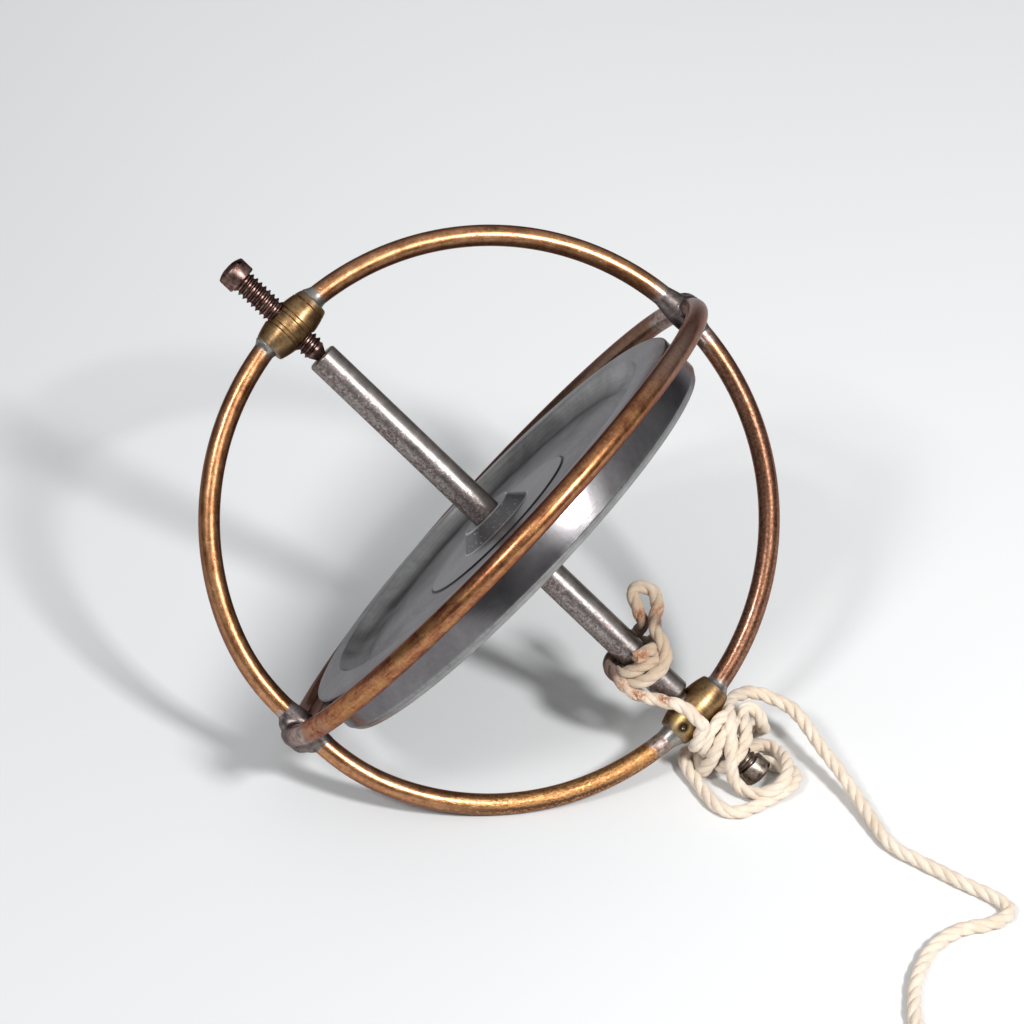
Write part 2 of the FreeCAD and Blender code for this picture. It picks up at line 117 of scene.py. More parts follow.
# The loop on the table on the near side of the lower screw's head.
LOWER_LOOP = [(41.2, -19.0, 2.0), (41.2, -15.4, 1.5), (40.4, -12.4, 1.4), (38.6, -12.2, 1.7),
              (37.9, -15.0, 2.2), (38.5, -18.2, 1.9), (40.6, -21.5, 1.4), (42.2, -25.4, 1.4),
              (44.5, -28.8, 1.4), (47.7, -30.0, 1.4), (51.2, -27.9, 1.4), (54.7, -25.1, 1.6),
              (58.1, -23.2, 2.7), (59.6, -18.9, 2.0), (57.9, -16.9, 1.7), (55.5, -15.4, 1.4),
              (53.2, -14.4, 1.4), (50.2, -13.8, 1.4), (47.2, -13.9, 1.4), (44.6, -15.4, 1.4)]

# Half a turn round the screw beside its head, as TURNS.
HEAD_TURN = [(63.9, 110, 4.1), (64.3, 75, 4.1), (64.5, 40, 4.1), (64.3, 5, 4.1), (63.8, -25, 4.1),
             (63.0, -58, 4.7)]

# The loop that stands up behind the screw and lies down round its head, clear of the head's way out.
RING = [(48.4, -11.0, 10.2), (49.9, -9.2, 10.8), (51.7, -9.8, 9.9), (52.7, -10.3, 7.4),
        (53.2, -8.0, 4.2), (53.6, -5.0, 1.9), (52.4, -2.7, 1.4), (50.7, -3.8, 1.4), (49.6, -7.0, 1.4),
        (48.6, -10.2, 1.4), (49.0, -12.3, 1.5), (50.8, -11.6, 1.6), (52.8, -9.4, 1.6),
        (55.0, -10.2, 1.8), (56.5, -13.4, 2.6), (57.4, -17.0, 4.2), (57.4, -22.2, 5.0),
        (55.7, -25.1, 4.0), (53.1, -25.5, 2.6), (50.3, -24.6, 1.9), (48.0, -23.0, 2.2)]

# Over the tangle and away.
OVER = [(46.7, -22.6, 4.6), (46.4, -22.2, 7.6), (46.3, -21.3, 10.4), (46.2, -18.7, 13.0),
        (45.8, -15.0, 13.6), (45.7, -11.0, 12.2), (47.2, -6.8, 11.0)]

# Down to the table and out to the coil.
TAIL = [(50.7, -3.8, 10.0), (54.9, -4.5, 9.0), (59.5, -6.9, 8.0), (63.1, -13.7, 6.2),
        (67.4, -20.3, 4.3), (71.5, -27.4, 2.3), (75.8, -37.9, 1.36), (82.3, -42.3, 1.36),
        (88.6, -47.2, 1.36), (94.5, -50.9, 1.36), (97.6, -54.6, 1.36), (93.9, -58.4, 1.36),
        (87.4, -59.7, 1.36), (82.3, -64.5, 1.36), (79.2, -70.9, 1.36), (77.9, -77.3, 1.36),
        (77.4, -84.7, 1.36), (79.6, -91.5, 1.36)]

COIL_AT = Vector((75.5, -113.5, 0))
COIL_LANES = [(17.55, 1.36), (14.85, 1.36), (16.2, 3.72), (13.5, 3.72), (12.15, 1.36)]  # radius and height
COIL_STEPS = 16  # points in a turn
COIL_START = math.radians(52)
COIL_LOOSE = 1.01  # a curve runs inside its points, so that they stand a little further out
LANE_CHANGE = 0.75  # the share of a turn after which the cord moves over to the next lane
END_KNOT_AT = Vector((78.4, -110.6, 3.6))
END_KNOT_SIZE = 1.3
END_KNOT_STEPS = 20
END_KNOT_START = 0.35


def round_screw(along, degrees, out):
    """A point beside the lower screw's axis, in the row frame in millimetres."""
    towards = Vector((0.107, -0.856, 0.506))  # the side of the screw that faces up and forward
    axis = -ALONG
    towards = (towards - axis * towards.dot(axis)).normalized()
    side = axis.cross(towards)
    angle = math.radians(degrees)
    return CENTRE / MM + axis * along + (towards * math.cos(angle) + side * math.sin(angle)) * out


def coil():
    """The put-away turns, from the outer lane inwards, and the loose overhand knot at their end."""
    points = []
    for step in range(COIL_STEPS * len(COIL_LANES) - 2):
        lane = step // COIL_STEPS
        share = max(0.0, (step % COIL_STEPS) / COIL_STEPS - LANE_CHANGE) / (1 - LANE_CHANGE)
        here = COIL_LANES[lane]
        after = COIL_LANES[min(lane + 1, len(COIL_LANES) - 1)]
        out = (here[0] + (after[0] - here[0]) * share) * COIL_LOOSE
        up = here[1] + (after[1] - here[1]) * share
        angle = COIL_START - step * math.tau / COIL_STEPS
        points.append(COIL_AT + Vector((out * math.cos(angle), out * math.sin(angle), up)))
    for step in range(END_KNOT_STEPS - 1):
        turn = END_KNOT_START + step * math.tau / END_KNOT_STEPS
        bend = Vector((math.sin(turn) + 2 * math.sin(2 * turn), math.cos(turn) - 2 * math.cos(2 * turn),
                       -1.1 * math.sin(3 * turn)))
        points.append(END_KNOT_AT + bend * END_KNOT_SIZE)
    return points


def cord_route():
    """The points that the cord's line follows, from the stub in the knot to its free end."""
    knot = [in_cage(point) for point in KNOT]
    turns = [round_screw(*point) for point in TURNS]
    head = [round_screw(*point) for point in HEAD_TURN]
    route = knot + LEAD + turns + LOWER_LOOP + head + RING + OVER + TAIL + coil()
    return [Vector(point) * MM for point in route]


def smooth_line(name, points):
    """The points that a NURBS spline with these control points runs through."""
    data = bpy.data.curves.new(name, "CURVE")
    data.dimensions = "3D"
    spline = data.splines.new("NURBS")
    spline.points.add(len(points) - 1)
    for slot, point in zip(spline.points, points):
        slot.co = (*point, 1)
    spline.order_u = 3
    spline.use_endpoint_u = True
    spline.resolution_u = 12
    item = bpy.data.objects.new(name, data)
    bpy.context.scene.collection.objects.link(item)
    mesh = bpy.data.meshes.new_from_object(item)
    line = [vertex.co.copy() for vertex in mesh.vertices]
    bpy.data.objects.remove(item)
    return line


def evenly(line, step):
    """The same line with its points one step apart."""
    out = [line[0]]
    rest = step
    for start, end in zip(line, line[1:]):
        run = (end - start).length
        while run > 0 and rest <= run:
            out.append(start.lerp(end, rest / run))
            rest += step
        rest -= run
    return out


def length_of(line):
    """The sum of the lengths of a line's steps."""
    return sum((b - a).length for a, b in zip(line, line[1:]))


def carried_frames(line):
    """A sideways direction at every point of the line, which turns no more than the line does."""
    sides = []
    ahead = (line[1] - line[0]).normalized()
    side = ahead.orthogonal().normalized()
    for index, point in enumerate(line):
        after = line[min(index + 1, len(line) - 1)]
        before = line[max(index - 1, 0)]
        new = (after - before).normalized()
        side = ahead.rotation_difference(new) @ side
        side = (side - new * side.dot(new)).normalized()
        ahead = new
        sides.append((ahead, side))
    return sides


def pull_cord():
    """Three laid strands round one line, a little uneven in their lay and their thickness."""
    line = evenly(smooth_line("cord_line", cord_route()), LINE_STEP * MM)
    frames = carried_frames(line)
    data = bpy.data.curves.new("strands", "CURVE")
    data.dimensions = "3D"
    data.bevel_depth = STRAND_RADIUS * MM
    data.bevel_resolution = 2
    data.use_fill_caps = True
    for strand in range(3):
        spline = data.splines.new("POLY")
        spline.points.add(len(line) - 1)
        for index, (point, (ahead, side)) in enumerate(zip(line, frames)):
            wander = noise.noise(Vector((index * 0.02, strand * 7.0, 0.3)))
            swell = noise.noise(Vector((index * 0.045, strand * 5.0, 8.1)))
            angle = math.tau * (index * LINE_STEP / LAY + strand / 3 + wander * 0.06)
            other = ahead.cross(side)
            out = (side * math.cos(angle) + other * math.sin(angle)) * (STRAND_OFFSET + wander * 0.10) * MM
            spline.points[index].co = (*(point + out), 1)
            spline.points[index].radius = 1 + 0.12 * swell
    item = bpy.data.objects.new("strands", data)
    bpy.context.scene.collection.objects.link(item)
    mesh = bpy.data.meshes.new_from_object(item)
    bpy.data.objects.remove(item)
    mesh.name = "pull_cord"
    piece = bpy.data.objects.new("pull_cord", mesh)
    bpy.context.scene.collection.objects.link(piece)
    for face in mesh.polygons:
        face.use_smooth = True
    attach(piece, "cage")
    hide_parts("cord_knot", "cord_bight", "cord_lead", "cord_wraps", "cord_loops", "cord_tail",
                "cord_coil", "cord_end_knot")
    length_of(line)
    return piece


CORD_PIECE = pull_cord()

# ---------------------------------------------------------------- turned steel, in the cage's millimetres

AXLE_RADIUS = 2.98
AXLE_TOP = 44.53
AXLE_BOTTOM = -48.48
AXLE_CHAMFER = 0.35
CUP_SLOPE = math.tan(math.radians(30))
CUP_DEPTH = 1.98

WHEEL_AT = -3.38  # the middle of the wheel, up the axle
WHEEL_RADIUS = 46.70
RIM_HALF = 5.0  # half the rim's thickness
WEB_HALF = 2.16  # half the web's thickness
LIP = 39.87  # the radius at which the dish meets the rim
DISH_FOOT = 33.37  # the radius at which the dish meets the web
DISH_BOW = (LIP - 1.43, RIM_HALF - 1.93)  # between them, as radius and height
ROUND_CORNER = [(43.4, RIM_HALF - 0.05), (45.2, RIM_HALF - 0.3), (WHEEL_RADIUS - 0.25, RIM_HALF - 0.8)]
ROUND_FOOT = 1.1  # from the rim's face to the foot of the round corner
CUT_CORNER = [(WHEEL_RADIUS - 0.9, RIM_HALF - 0.5), (WHEEL_RADIUS, RIM_HALF - 1.85)]
PLATEAU = 17.3
PLATEAU_RISE = 0.3
HUB_TOP = 5.4
HUB_FOOT = 8.25
HUB_RISE = 3.15
SHRINK = 0.03  # how much tighter than the axle the wheel's bore is

PITCH = 1.058
CREST = 2.38
ROOT = 1.86
TIP = 0.12  # the radius of the flat at the end of a screw's point
POINT_PLAY = 0.08
HEAD_LENGTH = 3.7
HEAD_RADIUS = 2.95
HEAD_DOME = 0.7
HEAD_NECK = 2.0  # the radius at which the underside of the head starts
SLOT_WIDTH = 0.95
SLOT_DEPTH = 1.2


def lathe(outline, steps=160, ring=False):
    """A closed shape turned about the upright axis; the outline is (radius, height) in millimetres."""
    shape = bmesh.new()
    spots = [shape.verts.new((radius, 0, height)) for radius, height in outline]
    for first, second in zip(spots, spots[1:] + (spots[:1] if ring else [])):
        shape.edges.new((first, second))
    bmesh.ops.spin(shape, geom=shape.verts[:] + shape.edges[:], cent=(0, 0, 0), axis=(0, 0, 1),
                   angle=math.tau, steps=steps, use_merge=True)
    bmesh.ops.remove_doubles(shape, verts=shape.verts, dist=0.002)
    bmesh.ops.recalc_face_normals(shape, faces=shape.faces)
    return shape


def ease(shape, width, over=28):
    """Rounds the edges that turn by more than so many degrees."""
    sharp = [edge for edge in shape.edges if len(edge.link_faces) == 2
             and edge.calc_face_angle(0) > math.radians(over)]
    bmesh.ops.bevel(shape, geom=sharp, offset=width, offset_type="OFFSET", segments=3, profile=0.5,
                    affect="EDGES", material=-1, clamp_overlap=True)


def arc(first, via, last, count):
    """Points on the circle through three points of an outline, both ends left out."""
    (ax, ay), (bx, by), (cx, cy) = first, via, last
    a, b, c = ax * ax + ay * ay, bx * bx + by * by, cx * cx + cy * cy
    d = 2 * (ax * (by - cy) + bx * (cy - ay) + cx * (ay - by))
    x = (a * (by - cy) + b * (cy - ay) + c * (ay - by)) / d
    y = (a * (cx - bx) + b * (ax - cx) + c * (bx - ax)) / d
    start = math.atan2(ay - y, ax - x)
    sweep = math.remainder(math.atan2(cy - y, cx - x) - start, math.tau)
    radius = math.hypot(ax - x, ay - y)
    return [(x + radius * math.cos(start + sweep * k / (count + 1)),
             y + radius * math.sin(start + sweep * k / (count + 1))) for k in range(1, count + 1)]


def piece_of(name, shape, body, slot, *nodes, place=CAGE, sharp=40):
    """Makes a piece from a shape in millimetres, and puts it in its place."""
    shape.transform(place)
    mesh = bpy.data.meshes.new(name)
    shape.to_mesh(mesh)
    shape.free()
    mesh.polygons.foreach_set("use_smooth", [True] * len(mesh.polygons))
    mesh.set_sharp_from_angle(angle=math.radians(sharp))
    item = bpy.data.objects.new(name, mesh)
    bpy.context.scene.collection.objects.link(item)
    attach(item, body)
    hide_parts(*nodes)
    return item


def axle():
    """The rod, with a chamfer and a cup for a screw's point at each end."""
    cup = CUP_DEPTH * CUP_SLOPE
    end = AXLE_RADIUS - AXLE_CHAMFER
    outline = [(0, AXLE_BOTTOM + CUP_DEPTH), (cup, AXLE_BOTTOM), (end, AXLE_BOTTOM),
               (AXLE_RADIUS, AXLE_BOTTOM + AXLE_CHAMFER), (AXLE_RADIUS, AXLE_TOP - AXLE_CHAMFER),
               (end, AXLE_TOP), (cup, AXLE_TOP), (0, AXLE_TOP - CUP_DEPTH)]
    shape = lathe(outline, 96)
    ease(shape, 0.08)
    return piece_of("turned_axle", shape, "rotor", "axle_steel", "axle")


def wheel_face(sign):
    """One face of the wheel from the bore out: the upper has a round corner, and the lower a cut one."""
    face = [(AXLE_RADIUS - SHRINK, WEB_HALF + HUB_RISE), (HUB_TOP, WEB_HALF + HUB_RISE),
            (HUB_FOOT, WEB_HALF + PLATEAU_RISE), (PLATEAU, WEB_HALF + PLATEAU_RISE),
            (PLATEAU + PLATEAU_RISE, WEB_HALF), (DISH_FOOT, WEB_HALF)]
    face += arc((DISH_FOOT, WEB_HALF), DISH_BOW, (LIP, RIM_HALF), 14) + [(LIP, RIM_HALF)]
    if sign > 0:
        start, _, end = ROUND_CORNER
        face += [start] + arc(*ROUND_CORNER, 6) + [end, (WHEEL_RADIUS, RIM_HALF - ROUND_FOOT)]
    else:
        face += CUT_CORNER
    return [(radius, WHEEL_AT + sign * height) for radius, height in face]


def flywheel():
    """The wheel, dished on both faces and bored for the axle."""
    shape = lathe(wheel_face(1) + wheel_face(-1)[::-1], 288, ring=True)
    ease(shape, 0.13, over=22)
    return piece_of("turned_flywheel", shape, "rotor", "flywheel_steel", "flywheel", sharp=50)


def thread(high):
    """A threaded rod from 0 up to a height, with a cone point at its foot."""
    shape = bmesh.new()
    # One turn of the thread, as radius and share of the pitch.
    tooth = [(ROOT, 0), (ROOT, 0.13), (CREST - 0.06, 0.42), (CREST, 0.47), (CREST, 0.53),
             (CREST - 0.06, 0.58), (ROOT, 0.87), (ROOT, 1)]
    spots = [shape.verts.new((radius, 0, (share - 1.5) * PITCH)) for radius, share in tooth]
    for first, second in zip(spots, spots[1:]):
        shape.edges.new((first, second))
    round_steps = 36
    turns = math.ceil(high / PITCH) + 3
    bmesh.ops.spin(shape, geom=shape.verts[:] + shape.edges[:], cent=(0, 0, 0), axis=(0, 0, 1),
                   dvec=(0, 0, PITCH / round_steps), angle=math.tau * turns, steps=round_steps * turns)
    bmesh.ops.remove_doubles(shape, verts=shape.verts, dist=0.003)
    for height, outward in ((0, -1), (high, 1)):
        bmesh.ops.bisect_plane(shape, geom=shape.verts[:] + shape.edges[:] + shape.faces[:], dist=0.0005,
                               plane_co=(0, 0, height), plane_no=(0, 0, outward), clear_outer=True)
    for vertex in shape.verts:
        widest = TIP + vertex.co.z * CUP_SLOPE
        out = math.hypot(vertex.co.x, vertex.co.y)
        if out > widest:
            vertex.co.x *= widest / out
            vertex.co.y *= widest / out
    rims = [edge for edge in shape.edges if edge.is_boundary]
    bmesh.ops.holes_fill(shape, edges=rims, sides=0)
    bmesh.ops.recalc_face_normals(shape, faces=shape.faces)
    return shape


def add_shape(shape, other):
    """Puts the other shape's faces into this one."""
    mesh = bpy.data.meshes.new("added")
    other.to_mesh(mesh)
    other.free()
    shape.from_mesh(mesh)
    bpy.data.meshes.remove(mesh)


def solid(name, shape):
    """An object for a modifier to work on."""
    mesh = bpy.data.meshes.new(name)
    shape.to_mesh(mesh)
    shape.free()
    item = bpy.data.objects.new(name, mesh)
    bpy.context.scene.collection.objects.link(item)
    return item


def after_modifiers(item):
    """The shape that an object's modifiers leave, in place of the object."""
    bpy.context.view_layer.update()
    evaluated = item.evaluated_get(bpy.context.evaluated_depsgraph_get())
    shape = bmesh.new()
    shape.from_mesh(evaluated.to_mesh())
    evaluated.to_mesh_clear()
    bpy.data.objects.remove(item)
    return shape


def cut(shape, cutter):
    """The shape with the cutter taken out of it."""
    body = solid("body", shape)
    tool = solid("tool", cutter)
    change = body.modifiers.new("cut", "BOOLEAN")
    change.operation = "DIFFERENCE"
    change.object = tool
    change.solver = "EXACT"
    left = after_modifiers(body)
    bpy.data.objects.remove(tool)
    return left


def screw_head(length):
    """A cheese head with a domed top and a slot, at the end of a screw of this length."""
    under = length - HEAD_LENGTH
    shoulder = length - HEAD_DOME
    dome = arc((HEAD_RADIUS, shoulder), (HEAD_RADIUS * 0.62, length - HEAD_DOME * 0.28), (0, length), 8)
    shape = lathe([(0, under - 0.02), (HEAD_NECK, under - 0.02), (HEAD_RADIUS, under),
                   (HEAD_RADIUS, shoulder)] + dome + [(0, length)], 72)
    ease(shape, 0.22, over=35)
    slot = bmesh.new()
    bmesh.ops.create_cube(slot, size=1.0, matrix=Matrix.Translation((0, 0, length))
                          @ Matrix.Diagonal((3 * HEAD_RADIUS, SLOT_WIDTH, 2 * SLOT_DEPTH, 1)))
    return cut(shape, slot)


def pivot_screw(name, node, body, length, slot_turn, flip):
    """A screw with its point in the cup at the top of the axle, or at the bottom where it is flipped."""
    shape = screw_head(length)
    shape.transform(Matrix.Rotation(math.radians(slot_turn), 4, "Z"))
    add_shape(shape, thread(length - HEAD_LENGTH))
    tip = CUP_DEPTH - POINT_PLAY - TIP / CUP_SLOPE
    if flip:
        place = CAGE @ Matrix.Translation((0, 0, AXLE_BOTTOM + tip)) @ Matrix.Rotation(math.pi, 4, "X")
    else:
        place = CAGE @ Matrix.Translation((0, 0, AXLE_TOP - tip))
    return piece_of(name, shape, body, "screw_steel", node, place=place, sharp=42)


# ---------------------------------------------------------------- hoops and solder, in the cage's millimetres

WIRE = 2.03  # the wire's radius
MERIDIAN = 53.3  # the first hoop's radius, to the middle of its wire
EQUATOR = 54.63  # the second hoop's
LEAN = math.radians(-1.75)  # the second hoop's tilt about the line through the crossings
WIRE_END = math.asin(3.40 / MERIDIAN)  # where a wire ends, inside a boss
EQUATOR_RISE = 0.75  # the second hoop out of true: up behind the wheel on the right
EQUATOR_DIP = 1.35  # and down on the left
EQUATOR_DRAWN_IN = 0.80  # inwards too there, by this share of the dip, so that it stands on the table
MERIDIAN_PRESSED = 1.0  # the first hoop out of true: pressed in at the left-hand crossing
PRESSED_REACH = 11
DROPS = 19  # drops of solder along a wire


def wire_run(radius, start, sweep, steps):
    """A run of hoop wire about the upright axis, closed at its ends where it isn't a whole hoop."""
    whole = sweep >= math.tau - 1e-6
    shape = bmesh.new()
    turns = [math.tau * step / 28 for step in range(28)]
    spots = [shape.verts.new((radius + WIRE * math.cos(turn), 0, WIRE * math.sin(turn))) for turn in turns]
    for first, second in zip(spots, spots[1:] + spots[:1]):
        shape.edges.new((first, second))
    bmesh.ops.rotate(shape, verts=shape.verts, cent=(0, 0, 0), matrix=Matrix.Rotation(start, 3, "Z"))
    bmesh.ops.spin(shape, geom=shape.verts[:] + shape.edges[:], cent=(0, 0, 0), axis=(0, 0, 1),
                   angle=sweep, steps=steps, use_merge=whole)
    bmesh.ops.remove_doubles(shape, verts=shape.verts, dist=0.002)
    bmesh.ops.holes_fill(shape, edges=[edge for edge in shape.edges if edge.is_boundary], sides=0)
    bmesh.ops.recalc_face_normals(shape, faces=shape.faces)
    return shape


def hump(share):
    """A lopsided hump over 0 to 1, highest near a third."""
    return math.sin(math.pi * share ** 0.6)


def equator_wire():
    """The second hoop: behind the flywheel it dips on the left and rises on the right."""
    shape = wire_run(EQUATOR, 0, math.tau, 240)
    for vertex in shape.verts:
        round_by = math.atan2(vertex.co.y, vertex.co.x)
        if 0 < round_by < math.pi / 2:
            vertex.co.z += EQUATOR_RISE * hump(round_by / (math.pi / 2))
        elif round_by >= math.pi / 2:
            dip = EQUATOR_DIP * hump((math.pi - round_by) / (math.pi / 2))
            vertex.co.x -= EQUATOR_DRAWN_IN * dip * math.cos(round_by)
            vertex.co.y -= EQUATOR_DRAWN_IN * dip * math.sin(round_by)
            vertex.co.z -= dip
    return piece_of("equator_wire", shape, "cage", "equator_wire", "equator_hoop",
                    place=CAGE @ Matrix.Rotation(LEAN, 4, "X"))


def meridian_wire():
    """Both halves of the first hoop, from boss to boss, pressed in a little at the left-hand crossing."""
    upright = Matrix(((0, 1, 0, 0), (0, 0, 1, 0), (1, 0, 0, 0), (0, 0, 0, 1)))
    sweep = math.pi - 2 * WIRE_END
    shape = wire_run(MERIDIAN, WIRE_END, sweep, 120)
    add_shape(shape, wire_run(MERIDIAN, math.pi + WIRE_END, sweep, 120))
    for vertex in shape.verts:
        off = math.remainder(math.atan2(vertex.co.y, vertex.co.x) + math.pi / 2, math.tau) * MERIDIAN
        inward = MERIDIAN_PRESSED * math.exp(-(off / PRESSED_REACH) ** 2)
        flat = Vector((vertex.co.x, vertex.co.y, 0)).normalized()
        vertex.co -= flat * inward
    return piece_of("meridian_wire", shape, "cage", "meridian_wire", "meridian_hoop_right",
                    "meridian_hoop_left", place=CAGE @ upright)


def melted(name, node, drops):
    """Solder as one smooth skin over a group of drops, each a place and a radius."""
    shape = bmesh.new()
    for place, radius in drops:
        bmesh.ops.create_icosphere(shape, subdivisions=3, radius=radius, matrix=Matrix.Translation(place))
    item = solid("drops", shape)
    skin = item.modifiers.new("skin", "REMESH")
    skin.mode = "VOXEL"
    skin.voxel_size = 0.25
    soft = item.modifiers.new("soft", "SMOOTH")
    soft.factor = 0.5
    soft.iterations = 8
    return piece_of(name, after_modifiers(item), "cage", "solder", node, sharp=180)


def tapered(first, last, widest):
    """Places along a wire beside a crossing, each with a drop's radius, thinning out at both ends."""
    for step in range(DROPS):
        along = first + (last - first) * step / (DROPS - 1)
        reach = first if along < 0 else last
        yield along, WIRE + (widest - WIRE) * (1 - (along / reach) ** 2) ** 1.5


def along_meridian(side, low, high, widest, inward=0.0):
    """Drops along the first hoop beside a crossing, from low to high up the axle."""
    return [((side * (math.sqrt(MERIDIAN ** 2 - up ** 2) - inward), 0, up), thick)
            for up, thick in tapered(low, high, widest)]


def along_equator(side, near, far, widest):
    """Drops along the second hoop beside a crossing, from the window's side to the far side."""
    return [((side * math.sqrt(EQUATOR ** 2 - back ** 2), back, back * math.tan(LEAN)), thick)
            for back, thick in tapered(near, far, widest)]


METAL_WIRES = [equator_wire(), meridian_wire()]
MELTED_SOLDER = [
    melted("left_crossing_drop", "crossing_solder_left",
           along_meridian(-1, -5.4, 4.6, 2.75, 0.9) + along_equator(-1, -5.5, 5.5, 2.4)
           + [((-54.3, 0, -1.7), 2.55), ((-53.2, 0, -3.2), 2.3), ((-53.4, 0, 1.9), 2.4)]),
    melted("right_crossing_drop", "crossing_solder_right",
           along_meridian(1, -5.0, 5.6, 2.85) + along_equator(1, -3.0, 6.5, 2.75)
           + [((54.4, 1.7, 0.2), 3.25)]),
]
AXLE_PIECE = axle()
WHEEL_PIECE = flywheel()
UPPER_SCREW = pivot_screw("upper_threaded_screw", "upper_pivot_screw", "upper_screw",
                          length=25.6, slot_turn=-50, flip=False)
LOWER_SCREW = pivot_screw("lower_threaded_screw", "lower_pivot_screw", "lower_screw",
                          length=24.6, slot_turn=40, flip=True)

# ---------------------------------------------------------------- how finishes are written


class Value:
    """A shader socket that can stand in a sum."""

    def __init__(self, finish, socket):
        self.finish = finish
        self.socket = socket

    def sum(self, operation, *others):
        return self.finish.node("ShaderNodeMath", {"operation": operation}, *others)

    def __add__(self, other):
        return self.sum("ADD", self, other)

    def __radd__(self, other):
        return self.sum("ADD", other, self)

    def __sub__(self, other):
        return self.sum("SUBTRACT", self, other)

    def __rsub__(self, other):
        return self.sum("SUBTRACT", other, self)

    def __mul__(self, other):
        return self.sum("MULTIPLY", self, other)

    def __rmul__(self, other):
        return self.sum("MULTIPLY", other, self)

    def __truediv__(self, other):
        return self.sum("DIVIDE", self, other)

    def __rtruediv__(self, other):
        return self.sum("DIVIDE", other, self)

    def __pow__(self, other):
        return self.sum("POWER", self, other)

    def __rpow__(self, other):
        return self.sum("POWER", other, self)

    def least(self, other):
        return self.sum("MINIMUM", self, other)

    def most(self, other):
        return self.sum("MAXIMUM", self, other)

    def size(self):
        return self.sum("ABSOLUTE", self)

    def angle(self, other):
        """The angle, in radians, of the direction that goes this far up and that far across."""
        return self.sum("ARCTAN2", self, other)

    def rise(self, low, high):
        """0 below low, 1 above high, and smooth between them; the other way round where low is above high."""
        return self.finish.node("ShaderNodeMapRange", {"interpolation_type": "SMOOTHSTEP", "clamp": True},
                                self, min(low, high), max(low, high), *((0, 1) if low < high else (1, 0)))


class Finish:
    """One surface finish, written as nodes on a piece's Object coordinates."""

    def __init__(self, name, owner=None):
        self.material = owner or bpy.data.materials.new(name)
        self.material.use_nodes = True
        self.tree = self.material.node_tree
        self.tree.nodes.clear()
        self.place = self.node("ShaderNodeTexCoord", output="Object")

    def node(self, kind, settings=None, *values, output=0, **named):
        made = self.tree.nodes.new(kind)
        for key, value in (settings or {}).items():
            if key == "stops":
                self.stops(made.color_ramp, value)
            else:
                setattr(made, key, value)
        for socket, value in list(zip(made.inputs, values)) + [(made.inputs[key.replace("_", " ")], value)
                                                              for key, value in named.items()]:
            if isinstance(value, Value):
                self.tree.links.new(value.socket, socket)
            elif value is not None:
                socket.default_value = value
        return Value(self, made.outputs[output]) if made.outputs else None

    def stops(self, ramp, stops):
        while len(ramp.elements) < len(stops):
            ramp.elements.new(0.5)
        for element, (position, colour) in zip(ramp.elements, stops):
            element.position = position
            element.color = (*colour, 1)

    def ramp(self, value, *stops):
        return self.node("ShaderNodeValToRGB", {"stops": stops}, value)

    def mix(self, share, first, second):
        """From the first colour to the second."""
        ends = [end if isinstance(end, Value) else (*end, 1) for end in (first, second)]
        not_colours = [None] * 5  # the node's sockets for mixing numbers and vectors
        return self.node("ShaderNodeMix", {"data_type": "RGBA"}, share, *not_colours, *ends, output=2)

    def vector(self, operation, *values):
        output = "Value" if operation in ("DOT_PRODUCT", "LENGTH", "DISTANCE") else "Vector"
        return self.node("ShaderNodeVectorMath", {"operation": operation}, *values, output=output)

    def part(self, direction):
        """How far along a direction of the cage a point is, in millimetres from the cage's centre."""
        return (self.vector("DOT_PRODUCT", self.place, tuple(direction)) - CENTRE.dot(direction)) / MM

    def cage_place(self):
        """The cage's own three coordinates, in millimetres."""
        return [self.part(ACROSS), self.part(AWAY), self.part(ALONG)]

    def joined(self, x, y, z):
        return self.node("ShaderNodeCombineXYZ", None, x, y, z)

    def grain(self, scale, detail=3.0, rough=0.55, at=None, warp=0.0):
        """Cloudy noise, about 0.5 on average; the scale is in cycles a millimetre."""
        return self.node("ShaderNodeTexNoise", {"noise_dimensions": "3D"}, Vector=at or self.millimetres(),
                         Scale=scale, Detail=detail, Roughness=rough, Distortion=warp)

    def millimetres(self):
        if not hasattr(self, "scaled"):
            self.scaled = self.vector("MULTIPLY", self.place, (1 / MM,) * 3)
        return self.scaled

    def bump(self, height, depth):
        """Raises the surface by depth, in millimetres, where height is 1."""
        return self.node("ShaderNodeBump", None, Strength=1.0, Distance=depth * MM, Height=height)

    def near(self, spots, reach, blur, ragged=0.0):
        """1 within reach of any of the spots, which are in millimetres in the cage, fading over blur to 0."""
        here = self.joined(*self.cage_place())
        away = self.vector("DISTANCE", here, spots[0])
        for spot in spots[1:]:
            away = away.least(self.vector("DISTANCE", here, spot))
        if ragged:
            away = away + (self.grain(0.8, 3, 0.6) - 0.5) * ragged
        return away.rise(reach + blur, reach)

    def done(self, colour, roughness, metallic=1.0, normal=None, **more):
        shader = self.node("ShaderNodeBsdfPrincipled", None, Base_Color=colour, Roughness=roughness,
                           Metallic=metallic, Normal=normal, output="BSDF", **more)
        self.node("ShaderNodeOutputMaterial", None, Surface=shader)
        return self.material


# Places on the cage that the finishes change near.
RIGHT_CROSSING = (54.0, 0, 0)
LEFT_CROSSING = (-54.0, 0, 0)
BOSS_AT = 52.8
SOLDER_RUN = (-8.2, 0, -52.4)  # where solder ran out along the wire at the left of the lower boss
BOSS_FACES = [(6.4, 0, 52.6), (-5.7, 0, 52.6), (6.4, 0, -52.9), (-5.7, 0, -52.9)]


